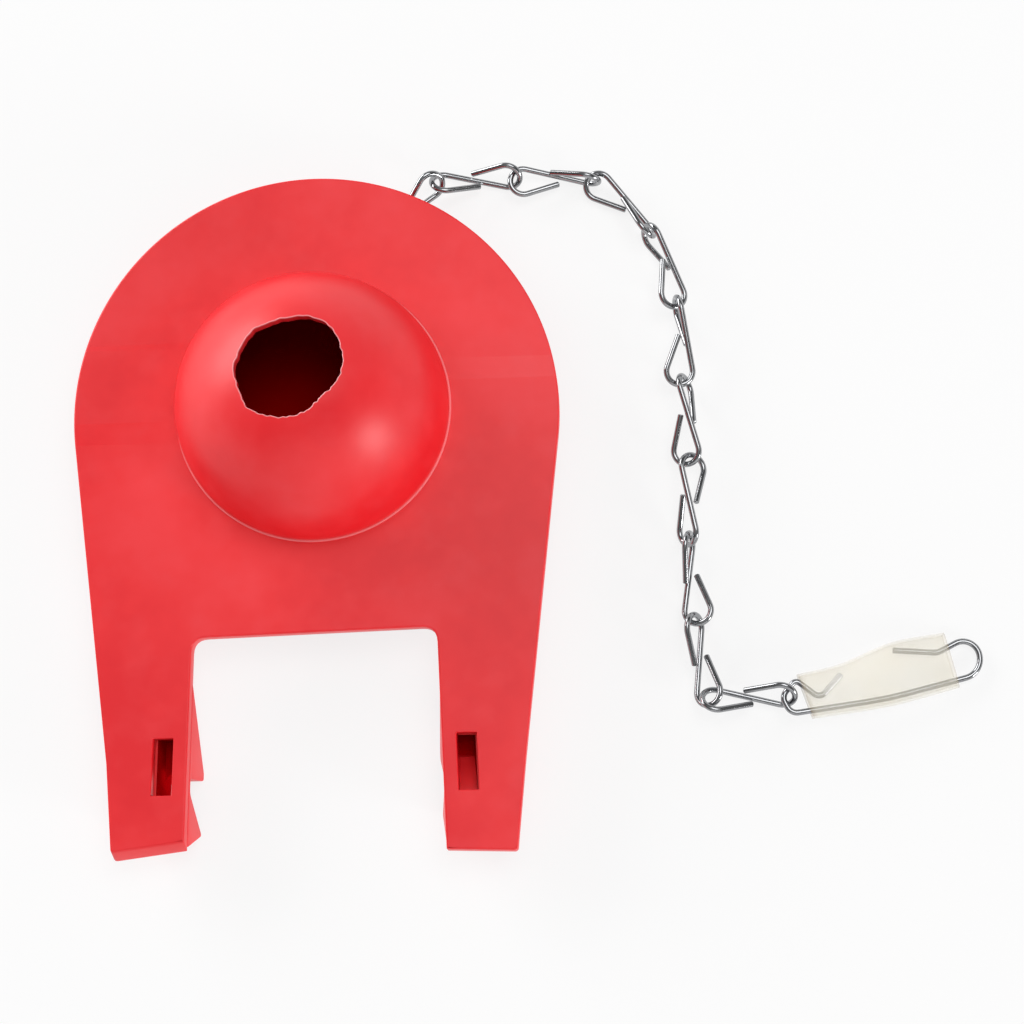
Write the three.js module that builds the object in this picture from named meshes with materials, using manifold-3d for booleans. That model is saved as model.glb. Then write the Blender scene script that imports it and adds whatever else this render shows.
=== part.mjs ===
// A toilet flapper, lying on its back with its bulb up: one red rubber moulding with two hooked arms,
// and a lift chain of twelve bent wire links that ends in a wire clip with a clear sleeve.
// Millimetres, +Z up, +Y from the arms to the round end of the plate, +X to the right.
// While it is built, z = 0 is the plate's upper face, which seals round the valve's mouth, and the bulb's
// axis is the Z axis. The finished group is moved so that its base centre is at the origin.

import * as THREE from "three";
import { mergeVertices } from "three/addons/utils/BufferGeometryUtils.js";
import Module from "manifold-3d";

const wasm = await Module();
wasm.setup();

// Plate: a round seat whose two straight sides run on as the arms
const DISC_RADIUS = 38.7;
const DISC_CENTRE_X = 0.3;
const DISC_CENTRE_Y = -1.3;
const PLATE_THICKNESS = 3;
const LEFT_TAPER_DEG = 6.3;
const RIGHT_TAPER_DEG = 6.75;
const EDGE_BREAK = 0.3;
const GAP_TOP_Y = -36.2;
const GAP_TOP_SKEW = 1;
const GAP_HALF_WIDTH = 19.25;
const GAP_FLARE_DEG = 1.85;
const GAP_CORNER_RADIUS = 2.4;
const ARM_END_CHAMFER = 1;
// The arms' cut ends, unlike on the two sides: where they end, how far they lean out towards the back, and
// how far their outer edge bends aside below SPREAD_TOP_Y
const LEFT_END = { outerY: -69.75, innerY: -68.3, slant: 1.4, spread: 0.7 };
const RIGHT_END = { outerY: -70.45, innerY: -70.1, slant: 0.2, spread: 0.2 };
const SPREAD_TOP_Y = -56;

// Bulb: a hollow dome, a little out of round, with a torn hole round its crown and a fine moulding line
// at its base
const BULB_RADIUS = 21.65;
const BULB_RADIUS_Y = 21.2;
const BULB_CENTRE_Y = -0.45;
const BULB_HEIGHT = 24;
const BULB_WALL = 2;
const BULB_FLOOR = 2.2;
const BEAD_SIZE = 0.35;
const HOLE_CENTRE = [-0.7, 1.3];
// How far the hole's torn edge lies from its centre, round in equal steps from +X
const HOLE_REACH = [8.2, 8.4, 8.7, 8.4, 7.7, 7.6, 8.1, 8, 8.4, 8.2, 8.7, 8.2, 7.9, 7.6, 7.1, 7.7];

// Ears: the hooks under the arm ends that hold the overflow pipe's pegs
const EAR_WIDTH = 8.3;
const EAR_DEPTH = 9;
const EAR_RAMP_Y = -46;
const EAR_LEAN = 1.45;
const LEFT_EAR_DRAG = 0;
const RIGHT_EAR_DRAG = 2.6;
const HOOK_WALL_Y = -58.5;
const HOOK_WIDTH = 8.6;
const JAW_LENGTH = 1.2;
const JAW_RADIUS = 0.5;
const SEAT_LENGTH = 2.2;
const JAW_END_LENGTH = 1.9;
const SLOT_WIDTH = 3.15;
const SLOT_TOP_Y = -52.3;
const SLOT_BOTTOM_Y = -61.1;
const SLOT_INSET = 2.3;
const SLOT_DEPTH = 6.2;
const SLOT_ARCH = 3.7;

// Chain tab: the fin under the round end of the plate that carries the first link
const TAB_THICKNESS = 1.7;
const TAB_LENGTH = 15;
const TAB_INSET = 6.2;
const TAB_HOLE_RADIUS = 2;
const TAB_HOLE_LAND = 1.1;
const TAB_CORNER_RADIUS = 2;
const TAB_EDGE_BREAK = 0.4;
const TAB_EDGE_Y = DISC_CENTRE_Y + DISC_RADIUS - TAB_INSET;

// Chain link: a bent wire with a teardrop loop at each end, the two a quarter turn apart
const LINK_WIRE = 0.95;
const LINK_LENGTH = 15;
const LOOP_RADIUS = 2.13;
const TAIL_OVERLAP = 0.9;
const TAIL_CLEARANCE = 0.25;
const CHAIN_HEIGHT = 2.4;

// How the chain lies, link by link from the tab. heading is the way a link points, from +X, and roll turns
// its first loop about that heading, both in degrees. The rest says where it starts inside the loop that
// holds it: how far back from that loop's end, how far to its left and how far up.
const CHAIN_LAY = [
  { heading: -10, roll: 155 },
  { heading: 47, roll: 140, back: 1.4, side: 0.15, lift: 0.15 },
  { heading: -1, roll: 142, back: 1.5, side: 0.3, lift: 0 },
  { heading: -4, roll: 180, back: 1.5, side: 0, lift: 0 },
  { heading: -46, roll: 203, back: 1.6, side: 0.3, lift: 0 },
  { heading: -71, roll: 243, back: 1.9, side: 0, lift: 0.45 },
  { heading: -88, roll: 260, back: 1.5, side: 0, lift: 0 },
  { heading: -86, roll: 294, back: 1.4, side: 0, lift: 0 },
  { heading: -91, roll: 325, back: 1.4, side: 0, lift: 0 },
  { heading: -88, roll: 466, back: 1.7, side: 0, lift: 0 },
  { heading: -84, roll: 483, back: 1.4, side: 0, lift: 0 },
  { heading: -2, roll: 500, back: 1.5, side: 0.45, lift: 0.3 },
];
const CLIP_LAY = { heading: 11, back: 1.45, side: 0.15, lift: 0 };

// Clip: a sprung wire with a small hook for the last link and a wide bend for the flush lever
const CLIP_WIRE = 0.95;
const CLIP_DROP = 2.45;
const CLIP_SPAN = 31.4;
// The hook's corners from its free end on: along, across, and the radius of the bend
const CLIP_HOOK = [
  [9.4, 1.8, 0],
  [5.3, -1.2, 1.3],
  [2.2, 2.4, 0.8],
  [-0.5, 0.3, 1.6],
  [0.3, -2.6, 1.7],
];
const CLIP_BEND_RADIUS = 3.2;
const CLIP_BOW = 0.8;
const CLIP_BOW_RADIUS = 60;
const CLIP_RETURN = 13.2;
const CLIP_KINK = 1.8;
const CLIP_KINK_RADIUS = 2;

// Sleeve: a clear tube pressed flat over the clip
const SLEEVE_WALL = 0.35;
const SLEEVE_THICKNESS = 2.3;
const SLEEVE_START = 3;
const SLEEVE_END = 27;
const SLEEVE_PLAY = 0.45;

const WIRE_SIDES = 8;
const LOOP_STEP_DEG = 21;
const DISC_SEGMENTS = 72;
const DOME_SEGMENTS = 56;
const DOME_STEPS = 12;

const RUBBER = { color: 0xe8323f, roughness: 0.55, metalness: 0 };
const STEEL = { color: 0xb9bcc0, roughness: 0.22, metalness: 1 };
const VINYL = { color: 0xefe6cf, roughness: 0.2, metalness: 0, transparent: true, opacity: 0.45 };

const rad = THREE.MathUtils.degToRad;

// A closed geometry as a solid, with only the positions kept so that shared corners merge
function solidOf(geometry) {
  const bare = new THREE.BufferGeometry();
  bare.setAttribute("position", geometry.getAttribute("position").clone());
  if (geometry.index) bare.setIndex(geometry.index.clone());
  const merged = mergeVertices(bare, 1e-4);
  return new wasm.Manifold(
    new wasm.Mesh({
      numProp: 3,
      vertProperties: merged.attributes.position.array,
      triVerts: new Uint32Array(merged.index.array),
    }),
  );
}

function geometryOf(solid) {
  const mesh = solid.getMesh();
  const geometry = new THREE.BufferGeometry();
  geometry.setAttribute("position", new THREE.BufferAttribute(mesh.vertProperties, 3));
  geometry.setIndex(new THREE.BufferAttribute(mesh.triVerts, 1));
  geometry.computeVertexNormals();
  return geometry;
}

// An outline in the YZ plane, drawn as x = Y and y = Z, made thick along X between two places, with its
// edges broken if asked
function extrudeAlongX(shape, fromX, toX, edgeBreak = 0) {
  const geometry = new THREE.ExtrudeGeometry(shape, {
    depth: toX - fromX - 2 * edgeBreak,
    bevelEnabled: edgeBreak > 0,
    bevelThickness: edgeBreak,
    bevelSize: edgeBreak,
    bevelOffset: -edgeBreak,
    bevelSegments: 1,
    curveSegments: 6,
  });
  const turn = new THREE.Matrix4().makeBasis(
    new THREE.Vector3(0, 1, 0),
    new THREE.Vector3(0, 0, 1),
    new THREE.Vector3(1, 0, 0),
  );
  return geometry.applyMatrix4(turn).translate(fromX + edgeBreak, 0, 0);
}

// An outline in the XY plane made thick along Z between two heights
function extrudeAlongZ(shape, fromZ, toZ) {
  const geometry = new THREE.ExtrudeGeometry(shape, {
    depth: toZ - fromZ,
    bevelEnabled: false,
    curveSegments: 6,
  });
  return geometry.translate(0, 0, fromZ);
}

// A closed outline through corners [x, y, radius]: each corner is rounded by an arc of its radius
function roundedShape(corners) {
  const shape = new THREE.Shape();
  const count = corners.length;
  corners.forEach(([x, y, radius = 0], i) => {
    const corner = new THREE.Vector2(x, y);
    const before = new THREE.Vector2(...corners[(i + count - 1) % count]).sub(corner).normalize();
    const after = new THREE.Vector2(...corners[(i + 1) % count]).sub(corner).normalize();
    const half = Math.acos(THREE.MathUtils.clamp(before.dot(after), -1, 1)) / 2;
    const reach = radius / Math.tan(half);
    const start = corner.clone().addScaledVector(before, reach);
    const end = corner.clone().addScaledVector(after, reach);
    if (i === 0) shape.moveTo(start.x, start.y);
    else shape.lineTo(start.x, start.y);
    if (radius > 0) shape.quadraticCurveTo(x, y, end.x, end.y);
  });
  shape.closePath();
  return shape;
}

const gapEdgeX = (y) => GAP_HALF_WIDTH + (GAP_TOP_Y - y) * Math.tan(rad(GAP_FLARE_DEG));

// The straight sides are tangents to the disc, so how far they are from its centre line follows from the
// disc and the taper
function sideReach(y, taperDeg) {
  const taper = rad(taperDeg);
  const touchY = DISC_CENTRE_Y - DISC_RADIUS * Math.sin(taper);
  return DISC_RADIUS * Math.cos(taper) + (y - touchY) * Math.tan(taper);
}

function plateOutline(inset) {
  const corner = GAP_CORNER_RADIUS + inset;
  const topLeftY = GAP_TOP_Y - GAP_TOP_SKEW / 2 + inset;
  const topRightY = GAP_TOP_Y + GAP_TOP_SKEW / 2 + inset;
  const topSlope = GAP_TOP_SKEW / (2 * GAP_HALF_WIDTH);
  const rightSide = (y) => DISC_CENTRE_X + sideReach(y, RIGHT_TAPER_DEG) - inset;
  const leftSide = (y) => DISC_CENTRE_X - sideReach(y, LEFT_TAPER_DEG) + inset;
  const inner = (y) => gapEdgeX(y) + inset;
  const right = { outerY: RIGHT_END.outerY + inset, innerY: RIGHT_END.innerY + inset };
  const left = { outerY: LEFT_END.outerY + inset, innerY: LEFT_END.innerY + inset };
  const rightEndX = rightSide(right.outerY) + RIGHT_END.spread;
  const leftEndX = leftSide(left.outerY) - LEFT_END.spread;
  const from = -rad(RIGHT_TAPER_DEG);
  const to = Math.PI + rad(LEFT_TAPER_DEG);
  const shape = new THREE.Shape();
  shape.moveTo(rightEndX - ARM_END_CHAMFER, right.outerY);
  shape.lineTo(rightEndX, right.outerY + ARM_END_CHAMFER);
  shape.lineTo(rightSide(SPREAD_TOP_Y), SPREAD_TOP_Y);
  shape.absarc(DISC_CENTRE_X, DISC_CENTRE_Y, DISC_RADIUS - inset, from, to, false);
  shape.lineTo(leftSide(SPREAD_TOP_Y), SPREAD_TOP_Y);
  shape.lineTo(leftEndX, left.outerY + ARM_END_CHAMFER);
  shape.lineTo(leftEndX + ARM_END_CHAMFER, left.outerY);
  shape.lineTo(-inner(left.innerY), left.innerY);
  shape.lineTo(-inner(topLeftY - corner), topLeftY - corner);
  shape.quadraticCurveTo(-inner(topLeftY), topLeftY, -inner(topLeftY) + corner, topLeftY + corner * topSlope);
  shape.lineTo(inner(topRightY) - corner, topRightY - corner * topSlope);
  shape.quadraticCurveTo(inner(topRightY), topRightY, inner(topRightY - corner), topRightY - corner);
  shape.lineTo(inner(right.innerY), right.innerY);
  shape.closePath();
  return shape;
}

// The plate with its upper and lower rims broken: three stacked outlines, the outer two a little smaller
function makePlate() {
  const rings = [
    { inset: EDGE_BREAK, z: -PLATE_THICKNESS },
    { inset: 0, z: -PLATE_THICKNESS + EDGE_BREAK },
    { inset: 0, z: -EDGE_BREAK },
    { inset: EDGE_BREAK, z: 0 },
  ].map(({ inset, z }) => {
    const flat = plateOutline(inset).getPoints(DISC_SEGMENTS);
    return flat.map((p) => new THREE.Vector3(p.x, p.y + endSlant(p, z), z));
  });
  return solidOf(loftRings(rings));
}

// The cut ends of the arms lean outwards towards the back, the left one more than the right
function endSlant(point, z) {
  const end = point.x < 0 ? LEFT_END : RIGHT_END;
  const isEnd = point.y < end.innerY + EDGE_BREAK + ARM_END_CHAMFER / 2;
  return isEnd ? (end.slant * z) / PLATE_THICKNESS : 0;
}

// A solid from a stack of rings with the same number of points, closed by flat caps at both ends
function loftRings(rings) {
  const count = rings[0].length;
  const positions = rings.flat().flatMap((p) => p.toArray());
  const index = [];
  for (let r = 0; r + 1 < rings.length; r++) {
    for (let i = 0; i < count; i++) {
      const a = r * count + i;
      const b = r * count + ((i + 1) % count);
      index.push(a, b, b + count, a, b + count, a + count);
    }
  }
  const capOf = (ring) => THREE.ShapeUtils.triangulateShape(ring.map((p) => new THREE.Vector2(p.x, p.y)), []);
  const top = (rings.length - 1) * count;
  for (const [a, b, c] of capOf(rings[0])) index.push(a, c, b);
  for (const [a, b, c] of capOf(rings.at(-1))) index.push(top + a, top + b, top + c);
  const geometry = new THREE.BufferGeometry();
  geometry.setAttribute("position", new THREE.Float32BufferAttribute(positions, 3));
  geometry.setIndex(index);
  return geometry;
}

// A lathe about the bulb's axis from [radius, z] points that run from the bottom of the axis to its top,
// pressed a little out of round
function latheAboutBulb(profile) {
  const geometry = new THREE.LatheGeometry(
    profile.map(([r, z]) => new THREE.Vector2(r, z)),
    DOME_SEGMENTS,
  );
  geometry.rotateX(Math.PI / 2).scale(1, BULB_RADIUS_Y / BULB_RADIUS, 1).translate(0, BULB_CENTRE_Y, 0);
  return solidOf(geometry);
}

// Points of a quarter ellipse from its base circle to its crown on the axis
function domeProfile(radius, height, baseZ) {
  const points = [];
  for (let i = 0; i <= DOME_STEPS; i++) {
    const angle = (i / DOME_STEPS) * (Math.PI / 2);
    points.push([i === DOME_STEPS ? 0 : radius * Math.cos(angle), baseZ + height * Math.sin(angle)]);
  }
  return points;
}

function makeDome() {
  const buried = -PLATE_THICKNESS / 2;
  return latheAboutBulb([
    [0, buried],
    [BULB_RADIUS + BEAD_SIZE, buried],
    [BULB_RADIUS + BEAD_SIZE, BEAD_SIZE / 2],
    [BULB_RADIUS, BEAD_SIZE],
    ...domeProfile(BULB_RADIUS, BULB_HEIGHT - BEAD_SIZE, BEAD_SIZE).slice(1),
  ]);
}

function makeDomeHollow() {
  const floorZ = BULB_FLOOR - PLATE_THICKNESS;
  const inner = BULB_RADIUS - BULB_WALL;
  return latheAboutBulb([[0, floorZ], ...domeProfile(inner, BULB_HEIGHT - BULB_WALL - floorZ, floorZ)]);
}

// The hole round the crown, with an uneven, hand-trimmed edge
function makeTornHole() {
  const points = HOLE_REACH.map((reach, i) => {
    const angle = (i / HOLE_REACH.length) * Math.PI * 2;
    return new THREE.Vector3(reach * Math.cos(angle), reach * Math.sin(angle), 0);
  });
  const edge = new THREE.CatmullRomCurve3(points, true).getPoints(HOLE_REACH.length * 3).slice(0, -1);
  const shape = new THREE.Shape(edge.map((p) => new THREE.Vector2(p.x, p.y)));
  return solidOf(extrudeAlongZ(shape, BULB_HEIGHT / 2, BULB_HEIGHT + 1).translate(...HOLE_CENTRE, 0));
}

// Side view of an ear, in y and z: a ramp, a jaw, the hook for the peg, and the sloping lower jaw
function earOutline() {
  const buried = -PLATE_THICKNESS / 2;
  const jawZ = -EAR_DEPTH;
  const mouthEndY = HOOK_WALL_Y - HOOK_WIDTH;
  return roundedShape([
    [EAR_RAMP_Y - buried, buried],
    [HOOK_WALL_Y + JAW_LENGTH, jawZ, JAW_RADIUS],
    [HOOK_WALL_Y, jawZ, JAW_RADIUS],
    [HOOK_WALL_Y, -PLATE_THICKNESS, JAW_RADIUS],
    [HOOK_WALL_Y - SEAT_LENGTH, -PLATE_THICKNESS, SEAT_LENGTH],
    [mouthEndY, jawZ, JAW_RADIUS],
    [mouthEndY - JAW_END_LENGTH, -PLATE_THICKNESS],
    [mouthEndY - JAW_END_LENGTH + EDGE_BREAK, buried],
  ]);
}

// Ears lean inwards with depth and follow the flare of the arm's inner edge. A foot that is dragged
// along, as it lies, slopes towards the plate by that much over the ear's depth.
function leanEar(geometry, drag) {
  const slope = drag / (EAR_DEPTH - PLATE_THICKNESS);
  const flare = Math.tan(rad(GAP_FLARE_DEG));
  const lean = new THREE.Matrix4();
  lean.set(1, -flare, EAR_LEAN / EAR_DEPTH, 0, 0, 1, -slope, -slope * PLATE_THICKNESS, 0, 0, 1, 0, 0, 0, 0, 1);
  return geometry.applyMatrix4(lean);
}

const earInnerX = GAP_HALF_WIDTH + GAP_TOP_Y * Math.tan(rad(GAP_FLARE_DEG));

// The outer cheek: it closes the hook's mouth on the side away from the pipe, beside the window
function makeCheek(drag) {
  const buried = -PLATE_THICKNESS / 2;
  const from = earInnerX + SLOT_INSET + SLOT_WIDTH;
  const to = earInnerX + EDGE_BREAK + EAR_WIDTH;
  const shape = roundedShape([
    [SLOT_TOP_Y, buried],
    [SLOT_TOP_Y, -SLOT_DEPTH, JAW_RADIUS],
    [HOOK_WALL_Y + JAW_LENGTH, -EAR_DEPTH, JAW_RADIUS],
    [HOOK_WALL_Y - HOOK_WIDTH, -EAR_DEPTH, JAW_RADIUS],
    [HOOK_WALL_Y - HOOK_WIDTH, buried],
  ]);
  return solidOf(leanEar(extrudeAlongX(shape, from, to), drag));
}

function makeEar(drag) {
  const from = earInnerX + EDGE_BREAK;
  const ear = solidOf(leanEar(extrudeAlongX(earOutline(), from, from + EAR_WIDTH), drag));
  return ear.add(makeCheek(drag));
}

// The window through the arm: blind over the upper jaw, and open to the hook below an arched edge. Its
// mouth in the arm is upright, and what lies under the arm follows the ear.
function makeSlot(drag) {
  const inner = earInnerX + SLOT_INSET;
  const outer = inner + SLOT_WIDTH;
  const blind = roundedShape([
    [inner, SLOT_TOP_Y],
    [outer, SLOT_TOP_Y],
    [outer, SLOT_BOTTOM_Y],
    [inner, SLOT_BOTTOM_Y],
  ]);
  const spring = SLOT_BOTTOM_Y + SLOT_ARCH - SLOT_WIDTH / 2;
  const arch = new THREE.Shape();
  arch.moveTo(outer, SLOT_BOTTOM_Y);
  arch.lineTo(outer, spring);
  arch.absarc((inner + outer) / 2, spring, SLOT_WIDTH / 2, 0, Math.PI, false);
  arch.lineTo(inner, SLOT_BOTTOM_Y);
  arch.closePath();
  const window = solidOf(leanEar(extrudeAlongZ(blind, -PLATE_THICKNESS, 1), 0));
  const pocket = solidOf(leanEar(extrudeAlongZ(blind, -SLOT_DEPTH, -PLATE_THICKNESS), drag));
  return window.add(pocket).add(solidOf(leanEar(extrudeAlongZ(arch, -EAR_DEPTH - 1, -PLATE_THICKNESS), drag)));
}

// The fin for the chain: its hole leaves a land just narrow enough for a link's loop to go round
function makeTab() {
  const buried = -PLATE_THICKNESS / 2;
  const shape = roundedShape([
    [TAB_EDGE_Y, buried],
    [TAB_EDGE_Y - TAB_LENGTH, buried],
    [TAB_EDGE_Y - TAB_LENGTH + TAB_CORNER_RADIUS, -EAR_DEPTH, TAB_CORNER_RADIUS],
    [TAB_EDGE_Y, -EAR_DEPTH, TAB_CORNER_RADIUS],
  ]);
  const hole = new THREE.Path();
  hole.absarc(holeY, holeZ, TAB_HOLE_RADIUS, 0, Math.PI * 2, true);
  shape.holes.push(hole);
  return solidOf(extrudeAlongX(shape, -TAB_THICKNESS / 2, TAB_THICKNESS / 2, TAB_EDGE_BREAK));
}

function makeFlapperBody() {
  const mirrored = (solid) => solid.mirror([1, 0, 0]);
  return makePlate()
    .add(makeEar(RIGHT_EAR_DRAG))
    .add(mirrored(makeEar(LEFT_EAR_DRAG)))
    .add(makeTab())
    .add(makeDome())
    .subtract(makeDomeHollow())
    .subtract(makeTornHole())
    .subtract(makeSlot(RIGHT_EAR_DRAG))
    .subtract(mirrored(makeSlot(LEFT_EAR_DRAG)));
}

// A wire's centre line through corners { at, radius }: straight runs joined by round bends
function bentWirePath(corners, stepDeg = 22) {
  const points = [corners[0].at.clone()];
  for (let i = 1; i + 1 < corners.length; i++) {
    const { at, radius } = corners[i];
    const before = corners[i - 1].at.clone().sub(at).normalize();
    const after = corners[i + 1].at.clone().sub(at).normalize();
    const turn = Math.PI - before.angleTo(after);
    const reach = radius * Math.tan(turn / 2);
    const middle = before.clone().add(after).normalize();
    const centre = at.clone().addScaledVector(middle, radius / Math.cos(turn / 2));
    const start = at.clone().addScaledVector(before, reach);
    const axis = new THREE.Vector3().crossVectors(after, before).normalize();
    const steps = Math.max(1, Math.round(turn / rad(stepDeg)));
    for (let s = 0; s <= steps; s++) {
      const arm = start.clone().sub(centre).applyAxisAngle(axis, (turn * s) / steps);
      points.push(arm.add(centre));
    }
  }
  points.push(corners.at(-1).at.clone());
  return points;
}

// A round wire along a path of points, with flat cut ends and its section carried along without twist
function wireAlong(points, diameter) {
  const tangents = points.map((p, i) => {
    const ahead = points[Math.min(i + 1, points.length - 1)];
    const behind = points[Math.max(i - 1, 0)];
    return ahead.clone().sub(behind).normalize();
  });
  let side = new THREE.Vector3(0.31, 0.52, 0.8).cross(tangents[0]).normalize();
  const positions = [];
  points.forEach((p, i) => {
    side = side.clone().addScaledVector(tangents[i], -side.dot(tangents[i])).normalize();
    const other = new THREE.Vector3().crossVectors(tangents[i], side);
    for (let k = 0; k < WIRE_SIDES; k++) {
      const angle = (k / WIRE_SIDES) * Math.PI * 2;
      const out = side.clone().multiplyScalar(Math.cos(angle)).addScaledVector(other, Math.sin(angle));
      positions.push(...p.clone().addScaledVector(out, diameter / 2).toArray());
    }
  });
  const index = [];
  const last = (points.length - 1) * WIRE_SIDES;
  for (let i = 0; i + 1 < points.length; i++) {
    for (let k = 0; k < WIRE_SIDES; k++) {
      const a = i * WIRE_SIDES + k;
      const b = i * WIRE_SIDES + ((k + 1) % WIRE_SIDES);
      index.push(a, b, b + WIRE_SIDES, a, b + WIRE_SIDES, a + WIRE_SIDES);
    }
  }
  for (let k = 1; k + 1 < WIRE_SIDES; k++) {
    index.push(0, k + 1, k);
    index.push(last, last + k, last + k + 1);
  }
  const geometry = new THREE.BufferGeometry();
  geometry.setAttribute("position", new THREE.Float32BufferAttribute(positions, 3));
  geometry.setIndex(index);
  geometry.computeVertexNormals();
  return geometry;
}

const linkReach = (LINK_LENGTH - LINK_WIRE) / 2;

// A link in its own frame: the spine along X, one loop towards +Y, the other towards -Z. Each loop is one
// arc from its short tail's straight run round to the spine.
function linkPath() {
  const tailRise = LINK_WIRE + TAIL_CLEARANCE;
  const loopX = -linkReach + LOOP_RADIUS;
  const fromLoop = new THREE.Vector2(TAIL_OVERLAP - loopX, tailRise - LOOP_RADIUS);
  const start = Math.atan2(fromLoop.y, fromLoop.x) + Math.acos(LOOP_RADIUS / fromLoop.length());
  const end = 1.5 * Math.PI;
  const steps = Math.round((end - start) / rad(LOOP_STEP_DEG));
  const loop = [[TAIL_OVERLAP, tailRise]];
  for (let s = 0; s <= steps; s++) {
    const angle = start + ((end - start) * s) / steps;
    loop.push([loopX + LOOP_RADIUS * Math.cos(angle), LOOP_RADIUS + LOOP_RADIUS * Math.sin(angle)]);
  }
  const first = loop.map(([along, across]) => new THREE.Vector3(along, across, 0));
  const last = loop.map(([along, across]) => new THREE.Vector3(-along, 0, -across));
  return [...first, ...last.reverse()];
}

// The same link moved so that the middle of its first loop's end is at the origin and the middle of the
// other's lies on +X: these two are the points that the chain pulls on
const firstPull = new THREE.Vector3(-linkReach, LOOP_RADIUS, 0);
const lastPull = new THREE.Vector3(linkReach, 0, -LOOP_RADIUS);
const pullLength = lastPull.distanceTo(firstPull);

function makeLinkGeometry() {
  const along = lastPull.clone().sub(firstPull).normalize();
  const straighten = new THREE.Quaternion().setFromUnitVectors(along, new THREE.Vector3(1, 0, 0));
  const points = linkPath().map((p) => p.sub(firstPull).applyQuaternion(straighten));
  return wireAlong(points, LINK_WIRE);
}

const headingVector = (deg) => new THREE.Vector3(Math.cos(rad(deg)), Math.sin(rad(deg)), 0);

// Where the next piece starts, from the end of the one before and the way that the two head
function nextStart(end, headingBefore, { heading, back, side, lift }) {
  const along = headingVector(headingBefore).add(headingVector(heading)).normalize();
  const left = new THREE.Vector3(-along.y, along.x, 0);
  const start = end.clone().addScaledVector(along, -back).addScaledVector(left, side);
  start.z += lift;
  return start;
}

const chainZ = CHAIN_HEIGHT - EAR_DEPTH;

// The first loop goes round the tab's land: one strand through the hole, the other past the tab's edge
const holeY = TAB_EDGE_Y - TAB_HOLE_LAND - TAB_HOLE_RADIUS;
const holeZ = chainZ + (LOOP_RADIUS / 2) * Math.sin(rad(CHAIN_LAY[0].roll));
const loopBend = LOOP_RADIUS * 0.7;
const tabLand = new THREE.Vector3(0, TAB_EDGE_Y - TAB_HOLE_LAND / 2, chainZ);

function chainStart() {
  return tabLand.clone().addScaledVector(headingVector(CHAIN_LAY[0].heading), -TAB_THICKNESS / 2 - loopBend);
}

function placeChain(group) {
  const geometry = makeLinkGeometry();
  let end = null;
  CHAIN_LAY.forEach((lay, i) => {
    const start = end ? nextStart(end, CHAIN_LAY[i - 1].heading, lay) : chainStart();
    const link = new THREE.Mesh(geometry, new THREE.MeshStandardMaterial(STEEL));
    link.name = `link_${String(i + 1).padStart(2, "0")}`;
    link.rotation.set(rad(lay.roll), 0, rad(lay.heading), "ZYX");
    link.position.copy(start);
    group.add(link);
    end = start.clone().addScaledVector(headingVector(lay.heading), pullLength);
  });
  return end;
}

const halfHook = -CLIP_HOOK.at(-1)[1];
const backY = -halfHook - CLIP_BOW;
const returnY = -halfHook + CLIP_BEND_RADIUS * 2;

// The clip in its own frame: flat in XY, its hook's end at the origin, its lever bend at +X
function clipPath() {
  const corner = (x, y, radius = 0) => ({ at: new THREE.Vector3(x, y, 0), radius });
  return bentWirePath([
    ...CLIP_HOOK.map(([x, y, radius]) => corner(x, y, radius)),
    corner(CLIP_SPAN / 2, backY, CLIP_BOW_RADIUS),
    corner(CLIP_SPAN, -halfHook, CLIP_BEND_RADIUS * 0.97),
    corner(CLIP_SPAN, returnY, CLIP_BEND_RADIUS * 0.8),
    corner(CLIP_SPAN - CLIP_BEND_RADIUS * 2, returnY - CLIP_KINK, CLIP_KINK_RADIUS),
    corner(CLIP_SPAN - CLIP_RETURN, returnY),
  ]);
}

// The sleeve in the clip's frame: a flattened tube between a lower and an upper edge that clear the wire,
// peaked over the clip's free end
function sleeveEdges() {
  const margin = CLIP_WIRE / 2 + SLEEVE_PLAY + SLEEVE_WALL;
  const middle = CLIP_SPAN / 2;
  const at = (x, y) => new THREE.Vector3(x, y, 0);
  const lower = new THREE.CatmullRomCurve3([
    at(SLEEVE_START + 0.5, -halfHook - 0.2 - margin),
    at(middle, backY - margin),
    at(SLEEVE_END, -halfHook - 0.2 - margin),
  ]);
  const upper = new THREE.CatmullRomCurve3([
    at(SLEEVE_START - 0.4, halfHook + 0.6),
    at((SLEEVE_START + middle) / 2, halfHook + 0.8),
    at(CLIP_SPAN - CLIP_RETURN, returnY + margin),
    at(SLEEVE_END - 0.4, returnY + margin - 0.2),
  ]);
  return { lower, upper };
}

const SLEEVE_STATIONS = 12;
const SLEEVE_SIDES = 20;
const SLEEVE_SQUARENESS = 0.45;

function makeSleeveGeometry() {
  const { lower, upper } = sleeveEdges();
  const flat = (v) => Math.sign(v) * Math.abs(v) ** SLEEVE_SQUARENESS;
  const ring = (t, inset) => {
    const low = lower.getPoint(t);
    const across = upper.getPoint(t).sub(low);
    const middle = low.clone().addScaledVector(across, 0.5);
    const halfWidth = across.length() / 2 - inset;
    const halfHeight = SLEEVE_THICKNESS / 2 - inset;
    across.normalize();
    return Array.from({ length: SLEEVE_SIDES }, (_, k) => {
      const angle = (k / SLEEVE_SIDES) * Math.PI * 2;
      const p = middle.clone().addScaledVector(across, halfWidth * flat(Math.cos(angle)));
      p.z = halfHeight * flat(Math.sin(angle));
      return p;
    });
  };
  const rings = [];
  for (let s = 0; s <= SLEEVE_STATIONS; s++) rings.push(ring(s / SLEEVE_STATIONS, 0));
  for (let s = SLEEVE_STATIONS; s >= 0; s--) rings.push(ring(s / SLEEVE_STATIONS, SLEEVE_WALL));
  return closedTube(rings);
}

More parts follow.
